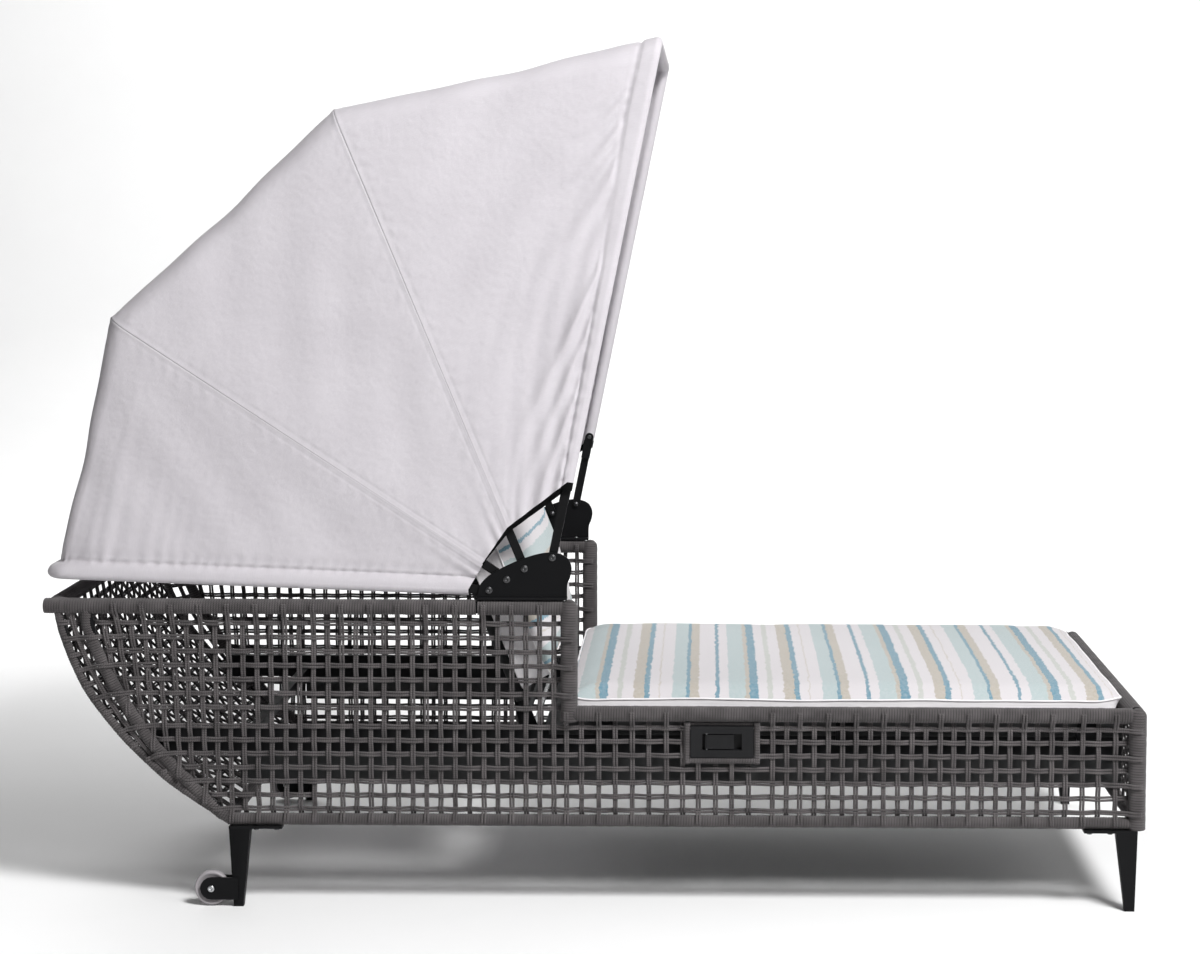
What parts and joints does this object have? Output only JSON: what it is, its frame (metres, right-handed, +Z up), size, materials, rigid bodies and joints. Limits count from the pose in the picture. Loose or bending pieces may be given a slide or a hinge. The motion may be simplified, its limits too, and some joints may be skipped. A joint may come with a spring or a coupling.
{
  "type": "outdoor daybed with canopy",
  "caption": "Long woven-cord outdoor daybed with a reclining backrest, striped cushions, a folding bow canopy and head-end wheels",
  "frame": {"origin": "on the floor, under the middle of the daybed's overall box", "axes": "+X runs from the head end to the foot end, +Y to the far side, +Z up; the side with the release handle is at -Y"},
  "size_m": [2.1513, 1, 1.6997],
  "materials": {
    "frame_steel": "satin",
    "cord": "matte",
    "leg_metal": "satin",
    "bright_steel": "satin",
    "wheel_grey": "matte",
    "plate_metal": "satin",
    "bow_tube": "satin",
    "canopy_cloth": "matte",
    "sling": "matte",
    "cushion_cloth": "matte",
    "spring_black": "gloss",
    "handle_plastic": "satin"
  },
  "bodies": {
    "frame": {"side_frame_near": "frame_steel", "side_frame_far": "frame_steel", "head_rim": "frame_steel", "head_lower_rail": "frame_steel", "foot_frame": "frame_steel", "deck_frame": "frame_steel", "arm_weave_near": "cord", "arm_weave_far": "cord", "seat_weave_near": "cord", "seat_weave_far": "cord", "head_weave": "cord", "foot_weave": "cord", "leg_head_near": "leg_metal", "leg_head_far": "leg_metal", "leg_foot_near": "leg_metal", "leg_foot_far": "leg_metal", "leg_head_bolts_near": "bright_steel", "leg_head_bolts_far": "bright_steel", "leg_foot_bolts_near": "bright_steel", "leg_foot_bolts_far": "bright_steel", "wheel_axle_near": "bright_steel", "wheel_axle_far": "bright_steel", "hinge_plate_near": "plate_metal", "hinge_plate_far": "plate_metal", "front_bow_pivot_near": "bright_steel", "front_bow_pivot_far": "bright_steel", "second_bow_pivot_near": "bright_steel", "second_bow_pivot_far": "bright_steel", "third_bow_pivot_near": "bright_steel", "third_bow_pivot_far": "bright_steel", "rear_bow_pivot_near": "bright_steel", "rear_bow_pivot_far": "bright_steel", "rear_bow_arm_near": "plate_metal", "rear_bow_arm_far": "plate_metal", "rear_bow": "bow_tube", "canopy_rear_gore": "canopy_cloth", "backrest_hinge_rod": "bright_steel", "seat_sling": "sling", "seat_cushion": "cushion_cloth", "handle_housing": "handle_plastic", "paddle_pin": "bright_steel"},
    "front_bow_body": {"front_bow": "bow_tube", "front_bow_arm_near": "plate_metal", "front_bow_arm_far": "plate_metal"},
    "second_bow_body": {"second_bow": "bow_tube", "second_bow_arm_near": "plate_metal", "second_bow_arm_far": "plate_metal", "canopy_front_gore": "canopy_cloth"},
    "third_bow_body": {"third_bow": "bow_tube", "third_bow_arm_near": "plate_metal", "third_bow_arm_far": "plate_metal", "canopy_middle_gore": "canopy_cloth"},
    "backrest": {"backrest_frame": "frame_steel", "backrest_sling": "sling", "back_cushion": "cushion_cloth"},
    "gas_cylinder": {"gas_spring_cylinder": "spring_black"},
    "gas_rod": {"gas_spring_rod": "bright_steel"},
    "paddle": {"release_paddle": "handle_plastic"},
    "wheel_near_body": {"wheel_near": "wheel_grey"},
    "wheel_far_body": {"wheel_far": "wheel_grey"}
  },
  "joints": [
    {"name": "front_bow_fold", "type": "hinge", "parent": "frame", "child": "front_bow_body", "pos_m": [-0.08224, 0, 0.69098], "axis": [0, -1, 0], "range_deg": [0, 99.4], "deforming": ["canopy_front_gore"]},
    {"name": "second_bow_fold", "type": "hinge", "parent": "frame", "child": "second_bow_body", "pos_m": [-0.13652, 0, 0.66903], "axis": [0, -1, 0], "range_deg": [0, 65.4], "deforming": ["canopy_middle_gore"]},
    {"name": "third_bow_fold", "type": "hinge", "parent": "frame", "child": "third_bow_body", "pos_m": [-0.17092, 0, 0.64801], "axis": [0, -1, 0], "range_deg": [0, 31.2], "deforming": ["canopy_rear_gore"]},
    {"name": "backrest_recline", "type": "hinge", "parent": "frame", "child": "backrest", "pos_m": [-0.125, 0, 0.336], "axis": [0, -1, 0], "range_deg": [0, 67]},
    {"name": "gas_cylinder_pivot", "type": "hinge", "parent": "frame", "child": "gas_cylinder", "pos_m": [-0.15278, 0, 0.17843], "axis": [0, -1, 0], "range_deg": [0, 33.5]},
    {"name": "gas_rod_pivot", "type": "hinge", "parent": "backrest", "child": "gas_rod", "pos_m": [-0.20979, 0, 0.47169], "axis": [0, -1, 0], "range_deg": [-33.5, 0]},
    {"name": "paddle_pull", "type": "hinge", "parent": "frame", "child": "paddle", "pos_m": [0.2185, -0.489, 0.3315], "axis": [0, 0, -1], "range_deg": [0, 30], "stiffness_Nm_per_rad": 0.05, "springref_deg": -17.19},
    {"name": "wheel_near_spin", "type": "hinge", "parent": "frame", "child": "wheel_near_body", "pos_m": [-0.752, -0.4825, 0.036], "axis": [0, 1, 0], "continuous": true},
    {"name": "wheel_far_spin", "type": "hinge", "parent": "frame", "child": "wheel_far_body", "pos_m": [-0.752, 0.4825, 0.036], "axis": [0, 1, 0], "continuous": true}
  ],
  "couplings": [
    {"joint": "second_bow_fold", "follows": "front_bow_fold", "ratio": 0.6579},
    {"joint": "third_bow_fold", "follows": "front_bow_fold", "ratio": 0.3138},
    {"joint": "gas_cylinder_pivot", "follows": "backrest_recline", "ratio": 0.5},
    {"joint": "gas_rod_pivot", "follows": "backrest_recline", "ratio": -0.5}
  ]
}
